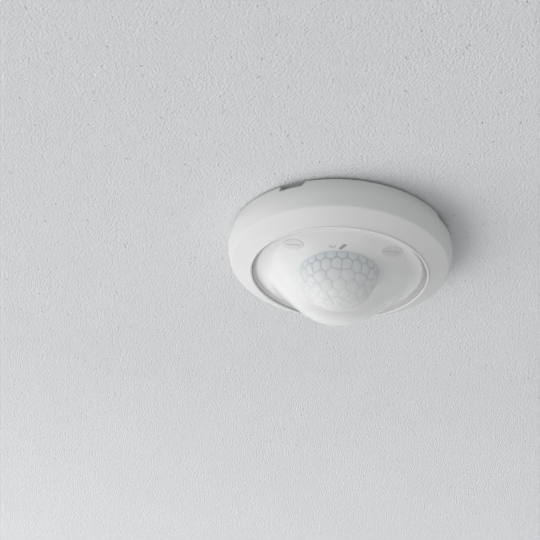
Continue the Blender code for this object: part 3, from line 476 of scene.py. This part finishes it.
def make_cover():
    wall_end = EDGE_DEPTH - EDGE_ROUND
    share = np.linspace(0.0, 1.0, 26)[:, None]
    turn = cover_turn()
    top = CEILING_GAP + notch_depth(turn)[None, :]
    depth = top + CEILING_ROUND + (wall_end - top - CEILING_ROUND) * share
    outer_wall = wall_radius(depth)
    inner_depth = depth[::-1]
    inner_wall = wall_radius(inner_depth) - COVER_WALL
    edge = (wall_radius(np.float64(EDGE_DEPTH)), EDGE_DEPTH)
    ring_outer = (OPENING_RADIUS + RIM_WIDTH, RIM_DEPTH)
    above_edge = (wall_radius(np.float64(wall_end)), wall_end)
    fixed = [corner(above_edge, edge, ring_outer, EDGE_ROUND)]
    straight = np.linspace(0.08, 0.94, 8)[:, None]
    fixed.append(np.array(edge) * (1 - straight) + np.array(ring_outer) * straight)
    crown = np.linspace(0.0, np.pi, 11)
    fixed.append(np.stack([OPENING_RADIUS + RIM_WIDTH / 2 * (1 + np.cos(crown)),
                           RIM_DEPTH + RIM_HEIGHT * np.sin(crown) ** 0.8], 1))
    ledge = RIM_DEPTH - LEDGE_DROP
    far = OPENING_RADIUS + LEDGE_WIDTH
    narrow = edge[0] - COVER_WALL
    fixed.append(np.array([(OPENING_RADIUS, RIM_DEPTH - 0.0006), (OPENING_RADIUS, ledge), (far, ledge),
                           (narrow - 0.0008, EDGE_DEPTH - COVER_WALL / 2 + 0.0006)]))
    fixed = np.vstack(fixed)
    columns = len(turn)
    fixed_radius = np.repeat(fixed[:, :1], columns, 1)
    fixed_depth = np.repeat(fixed[:, 1:], columns, 1)
    rim_middle = wall_radius(top) - COVER_WALL / 2
    lip = [rim_middle - COVER_WALL / 2 + CEILING_ROUND, rim_middle + COVER_WALL / 2 - CEILING_ROUND]
    radius = np.vstack([outer_wall, fixed_radius, inner_wall, *lip])
    depths = np.vstack([depth, fixed_depth, inner_depth, top, top])
    cover = surface("cover_shell", turn, radius, depths, True, COVER_PLASTIC)
    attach(cover, "cover")
    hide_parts("housing_cover")


make_cover()

# %% [markdown]
# ## Grip ribs inside the cover
# Four short ribs stand in from the wall and grip the sensor module. They show when the cover
# is pulled off. Each is a grid over a box whose long edges are rounded, reaching out to the wall.

# %% Grip ribs
RIB_WIDTH = 0.0080
RIB_HEIGHT = 0.0023
RIB_BOTTOM = -FACE_LOW[2] - 0.0047


def superellipse(turn, half_width, half_height, power=6.0):
    """A rounded rectangle: cosine and sine, each raised to a small power."""
    x = np.sign(np.cos(turn)) * np.abs(np.cos(turn)) ** (2 / power) * half_width
    y = np.sign(np.sin(turn)) * np.abs(np.sin(turn)) ** (2 / power) * half_height
    return x, y


def make_ribs():
    """Cross-sections from the face's brim to the wall, each one a rounded rectangle."""
    inner = FACE_HIGH[0] + 0.0003
    outer = wall_radius(np.float64(RIB_BOTTOM - RIB_HEIGHT)) - COVER_WALL / 2
    out = np.array([inner, inner + 0.0002, outer - 0.0002, outer])
    size = np.array([0.86, 1.0, 1.0, 1.0])[:, None]
    along, height = superellipse(even_turn(32), RIB_WIDTH / 2, RIB_HEIGHT / 2)
    index = np.arange(4 * 32).reshape(4, 32)
    quads = np.stack([index[:-1], index[1:], np.roll(index[1:], -1, 1), np.roll(index[:-1], -1, 1)], -1)
    faces = quads.reshape(-1, 4).tolist() + [index[0].tolist(), index[-1][::-1].tolist()]
    for number in range(NOTCH_COUNT):
        angle = NOTCH_START + (number + 0.5) * 2 * math.pi / NOTCH_COUNT
        side = along[None] * size
        x = out[:, None] * math.cos(angle) - side * math.sin(angle)
        y = out[:, None] * math.sin(angle) + side * math.cos(angle)
        z = -(RIB_BOTTOM - RIB_HEIGHT / 2) + height[None] * size
        points = np.stack([x, y, z], -1).reshape(-1, 3)
        mesh = bpy.data.meshes.new(f"grip_rib_{number + 1}")
        mesh.from_pydata(points.tolist(), [], faces)
        if signed_volume(points, faces) < 0:
            mesh.flip_normals()
        mesh.shade_smooth()
        mesh.set_sharp_from_angle(angle=math.radians(40.0))
        mesh.materials.append(COVER_PLASTIC)
        rib = bpy.data.objects.new(mesh.name, mesh)
        bpy.context.scene.collection.objects.link(rib)
        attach(rib, "cover")
    print("made", NOTCH_COUNT, "grip ribs")


make_ribs()

# %% [markdown]
# ## The smooth dome
# Its outline is a bell: a short step out of the groove, a hollow curve, a straight flank at
# 45 degrees and a round cap. Hollow curve and cap are arcs, so their tangents meet the flank
# without a kink. The inside repeats the outline one wall thickness further in.

# %% Dome
def bell(offset, cap_steps=34, hollow_steps=26):
    """Arc, straight flank and arc, from the foot to near the tip, moved in by offset."""
    foot_depth = RIM_DEPTH - DOME_FOOT_DROP
    foot_radius = OPENING_RADIUS - DOME_STEP_GAP - DOME_STEP_ROUND
    centre = DOME_TIP_DEPTH - DOME_CAP_RADIUS
    cap_edge_depth = centre + DOME_CAP_RADIUS * math.cos(DOME_FLANK)
    meets_foot = DOME_CAP_RADIUS * math.sin(DOME_FLANK) + (cap_edge_depth - foot_depth) / math.tan(DOME_FLANK)
    hollow_radius = (foot_radius - meets_foot) / math.tan(DOME_FLANK / 2)
    swing = np.linspace(0.0, DOME_FLANK, hollow_steps)
    hollow = np.stack([foot_radius - (hollow_radius + offset) * np.sin(swing),
                       foot_depth + hollow_radius - (hollow_radius + offset) * np.cos(swing)], 1)
    swing = np.linspace(DOME_FLANK, 0.012, cap_steps)
    cap = np.stack([(DOME_CAP_RADIUS - offset) * np.sin(swing),
                    centre + (DOME_CAP_RADIUS - offset) * np.cos(swing)], 1)
    share = np.linspace(0.1, 0.9, 7)[:, None]
    flank = hollow[-1] * (1 - share) + cap[0] * share
    return np.vstack([hollow, flank, cap])


def make_dome():
    step = OPENING_RADIUS - DOME_STEP_GAP
    foot_depth = RIM_DEPTH - DOME_FOOT_DROP
    inner_step = step - DOME_WALL
    inside = bell(DOME_WALL)[::-1]
    inside = inside[inside[:, 0] < inner_step - 0.0002]
    flange_bottom = DOME_FLANGE_TOP + DOME_FLANGE
    flange = np.array([(inner_step, foot_depth - DOME_WALL - 0.0002), (inner_step, DOME_FLANGE_TOP),
                       (DOME_FLANGE_RADIUS - 0.0002, DOME_FLANGE_TOP),
                       (DOME_FLANGE_RADIUS, DOME_FLANGE_TOP + 0.0002), (DOME_FLANGE_RADIUS, flange_bottom),
                       (step, flange_bottom)])
    round_over = corner((step, flange_bottom), (step, foot_depth), (0.0, foot_depth), DOME_STEP_ROUND)
    outline = np.vstack([inside, flange, round_over, bell(0.0)[1:]])
    turn = even_turn(256)
    radius = np.repeat(outline[:, :1], len(turn), 1)
    depth = np.repeat(outline[:, 1:], len(turn), 1)
    dome = surface("smooth_dome", turn, radius, depth, False, DOME_PLASTIC)
    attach(dome, "cover")
    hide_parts("outer_dome")


make_dome()

# %% [markdown]
# ## The honeycomb lens
# The lens is a half ball of facets in rows. Every facet's centre is a direction from the
# middle of the ball. A point belongs to the facet whose centre is nearest in angle; where
# the nearest and the second nearest are equally far, two facets meet. Those borders come out
# six-sided by themselves, because neighbouring rows are shifted by half a facet.

# %% Honeycomb lens
# each row: degrees below the rim plane, number of facets, shift as a share of a facet
FACET_ROWS = ((1.0, 22, 0.0), (16.0, 22, 0.5), (32.0, 14, 0.5),
              (47.5, 12, 0.0), (63.0, 10, 0.5), (77.0, 5, 0.0))
FACET_BULGE = 0.012         # how far a facet falls away from its middle, in metres per square radian
GROOVE_DEPTH = 0.00022
GROOVE_WIDTH = 0.00034
TIP_FADE = 1.25             # the colour reaches its palest before the tip
FRONT = math.radians(270.0)


def facet_centres():
    """Unit directions of all facets, row by row: latitude below the rim plane, and turn."""
    rows = []
    for latitude, count, shift in FACET_ROWS:
        turn = FRONT + (np.arange(count) + shift) * 2 * np.pi / count
        angle = math.radians(latitude)
        rows.append(np.stack([np.cos(turn) * math.cos(angle), np.sin(turn) * math.cos(angle),
                              np.full(count, math.sin(angle))], 1))
    rows.append(np.array([[0.0, 0.0, 1.0]]))
    return np.vstack(rows)


def facet_relief(latitude, turn, ball):
    """Height and groove of each point: a bulge round the nearest centre, a groove at the border."""
    direction = np.stack([np.cos(latitude) * np.cos(turn), np.cos(latitude) * np.sin(turn),
                          np.sin(latitude) * np.ones_like(turn)], -1)
    angles = np.arccos(np.clip(direction @ facet_centres().T, -1.0, 1.0))
    two = np.partition(angles, 1, axis=-1)[..., :2]
    to_border = (two[..., 1] - two[..., 0]) / 2 * ball
    groove = np.exp(-(to_border / GROOVE_WIDTH) ** 2)
    return -FACET_BULGE * two[..., 0] ** 2 - GROOVE_DEPTH * groove, groove


def make_lens():
    ball = LENS_RADIUS
    centre = -LENS_LOW[2] - ball
    inner = ball - LENS_WALL
    flange_top = -LENS_HIGH[2]
    turn = even_turn(480)[None, :]
    latitude = np.linspace(0.0, np.pi / 2 - 0.012, 120)[:, None]
    relief, groove = facet_relief(latitude, turn, ball)
    reach = ball + relief
    out_radius = reach * np.cos(latitude)
    out_depth = centre + reach * np.sin(latitude)
    coarse = np.linspace(np.pi / 2 - 0.02, 0.0, 16)[:, None] * np.ones_like(turn)
    in_radius = inner * np.cos(coarse)
    in_depth = centre + inner * np.sin(coarse)
    flange_bottom = flange_top + LENS_FLANGE_HEIGHT
    flange = np.array([(inner, flange_top), (LENS_HIGH[0], flange_top), (LENS_HIGH[0], flange_bottom),
                       (ball, flange_bottom), (ball, centre - 0.0004)])
    radius = np.vstack([in_radius, np.repeat(flange[:, :1], turn.size, 1), out_radius])
    depth = np.vstack([in_depth, np.repeat(flange[:, 1:], turn.size, 1), out_depth])
    plain = np.zeros((len(radius) - len(groove), turn.size))
    towards_tip = np.clip((depth - centre) / ball * TIP_FADE, 0.0, 1.0)
    lens = surface("honeycomb_lens", turn[0], radius, depth, False, LENS_PLASTIC,
                   {"groove": np.vstack([plain, groove]), "towards_tip": towards_tip})
    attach(lens, "module")
    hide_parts("inner_lens")


make_lens()

# %% [markdown]
# ## Finishes for the pieces that keep their shape
# The other pieces already have the right shape in the model. Each one gets its finish by the
# name of its material slot in the record, so the list below is the whole painting plan.

# %% Paint the model's own pieces
FINISHES = {
    "cover_plastic": COVER_PLASTIC, "white_plastic": WHITE_PLASTIC, "grey_plastic": GREY_PLASTIC,
    "face_plastic": FACE_PLASTIC, "dome_plastic": DOME_PLASTIC, "lens_plastic": LENS_PLASTIC,
    "board_green": BOARD, "black_plastic": BLACK_PLASTIC, "grommet_rubber": RUBBER,
    "contact_brass": BRASS, "plated_steel": STEEL,
}
for entry in frame["record"]["subparts"]:
    node = frame["nodes"][entry["node"]]
    node.data.materials.clear()
    node.data.materials.append(FINISHES[entry["material_slot"]])
for name in ("time_dial", "light_dial"):
    frame["nodes"][name].data.materials[0] = DIAL_PLASTIC
lamp_mesh = frame["nodes"]["status_led"].data
pale = lamp_mesh.attributes.new("towards_tip", "FLOAT", "POINT")
pale.data.foreach_set("value", np.ones(len(lamp_mesh.vertices)))

# %% [markdown]
# ## The ceiling
# The sensor hangs on rough white plaster. The plane has a round opening behind the base, and
# it is see-through from above, so the sensor's back can be looked at as well. The plaster's
# grains are bumps in the shader: rounded cells for the grains and a slow noise for the
# trowel's unevenness.

# %% Ceiling
CEILING_REACH = 4.0
CEILING_HOLE = 0.0500
CEILING_HEIGHT = 0.0003
PLASTER_DARK = (0.81, 0.815, 0.83)
PLASTER_PALE = (0.87, 0.875, 0.885)
PLASTER_RELIEF = 0.0011
PAPER_WHITE = 0.86


def plaster():
    """Principled plaster, see-through from above; its relief fades where it is seen at a flat angle."""
    finish = Finish("plaster")
    grain = finish.noise(1500.0, 3.0, 0.7)
    lumps = 1.0 - finish.grains(900.0)
    pits = ((0.11 - finish.grains(135.0)) * 18.0).clamp()
    slow = finish.noise(9.0, 3.0)
    facing = finish.signal(finish.node("LayerWeight", {}, {"Blend": 0.5}).outputs["Facing"])
    steep = ((0.95 - facing) * 2.5).clamp()      # one face on, nothing at a flat angle
    height = (grain * 0.8 + lumps * 0.4 - pits * 0.5) * steep
    # painted shade: the pits take the dark plaster colour; the two noises only vary the tone at random
    pale = (slow * 0.6 + grain * 0.4) * (1.0 - pits)
    finish.set(base_color=finish.between(PLASTER_DARK, PLASTER_PALE, pale), roughness=0.9)
    finish.bump(height, PLASTER_RELIEF)
    clear = finish.node("BsdfTransparent")
    behind = finish.node("NewGeometry").outputs["Backfacing"]
    mix = finish.node("MixShader")
    finish.feed(mix.inputs["Fac"], behind)
    finish.feed(mix.inputs[1], finish.shader.outputs[0])
    finish.feed(mix.inputs[2], clear.outputs[0])
    finish.feed(finish.output.inputs["Surface"], mix.outputs[0])
    return finish.material


def make_ceiling():
    """A flat ring: two circles of points, joined by four-sided faces that look down."""
    turn = even_turn(96)
    rings = np.array([CEILING_HOLE, 0.2, CEILING_REACH])[:, None]
    points = np.stack([rings * np.cos(turn), rings * np.sin(turn), np.full((3, 96), CEILING_HEIGHT)], -1)
    index = np.arange(3 * 96).reshape(3, 96)
    faces = np.stack([index[:-1], np.roll(index[:-1], -1, 1), np.roll(index[1:], -1, 1), index[1:]], -1)
    mesh = bpy.data.meshes.new("ceiling")
    mesh.from_pydata(points.reshape(-1, 3).tolist(), [], faces.reshape(-1, 4).tolist())
    if mesh.polygons[0].normal.z > 0:
        mesh.flip_normals()
    mesh.materials.append(plaster())
    ceiling = bpy.data.objects.new("ceiling", mesh)
    bpy.context.scene.collection.objects.link(ceiling)
    print("the ceiling reaches", CEILING_REACH, "m each way")


make_ceiling()

# %% [markdown]
# ## Light
# A large soft window stands to the left and below, and the pale room fills the rest. Half of
# the window's light comes from a lamp that leaves no reflection, so that the glossy dome
# doesn't burn out. The world is brighter to the eye than it is as a lamp: Light Path tells
# camera, mirror and glass rays from the others.

# %% Light
WINDOW_POWER = 17.0
WINDOW_SOFT_POWER = 15.0      # the part of the window's light that leaves no reflection
WINDOW_SIZE = 2.2
WINDOW_PLACE = Vector((-1.55, 0.45, -1.25))
FILL_POWER = 1.0
FILL_PLACE = Vector((0.9, -1.3, -1.3))
TOP_POWER = 7.0
TOP_PLACE = Vector((-0.5, 0.7, 1.5))
ROOM_LIGHT = 0.52
ROOM_SLOPE = 0.24           # how much brighter the room is on the left, and darker on the right


def soft_lamp(name, place, power, size, mirrored=True):
    """A square lamp that looks at the sensor; glossy surfaces show it only if it is mirrored."""
    data = bpy.data.lights.new(name, "AREA")
    data.energy = power
    data.size = size
    lamp = bpy.data.objects.new(name, data)
    lamp.location = place
    lamp.visible_glossy = mirrored
    lamp.rotation_euler = (-place).to_track_quat("-Z", "Y").to_euler()
    bpy.context.scene.collection.objects.link(lamp)


def light_room():
    """Pale for the camera and for reflections, dimmer as a light."""
    world = bpy.data.worlds.new("room")
    world.use_nodes = True
    bpy.context.scene.world = world
    tree = world.node_tree
    background = tree.nodes["Background"]
    background.inputs["Color"].default_value = (0.97, 0.985, 1.0, 1.0)
    path = tree.nodes.new("ShaderNodeLightPath")
    seen = Signal(tree, path.outputs["Is Camera Ray"]) + Signal(tree, path.outputs["Is Glossy Ray"])
    seen = (seen + Signal(tree, path.outputs["Is Transmission Ray"])).clamp()
    ray = tree.nodes.new("ShaderNodeTexCoord")
    parts = tree.nodes.new("ShaderNodeSeparateXYZ")
    tree.links.new(ray.outputs["Generated"], parts.inputs[0])
    lit = ROOM_LIGHT - Signal(tree, parts.outputs["X"]) * ROOM_SLOPE
    strength = seen * PAPER_WHITE + (1.0 - seen) * lit
    tree.links.new(strength.socket, background.inputs["Strength"])


soft_lamp("window", WINDOW_PLACE, WINDOW_POWER, WINDOW_SIZE)
soft_lamp("window_soft", WINDOW_PLACE, WINDOW_SOFT_POWER, WINDOW_SIZE * 0.7, False)
soft_lamp("fill", FILL_PLACE, FILL_POWER, 1.2, False)
soft_lamp("top", TOP_PLACE, TOP_POWER, 1.0, False)
light_room()
bpy.context.scene.view_settings.view_transform = "Standard"
print("four lamps and a pale room")
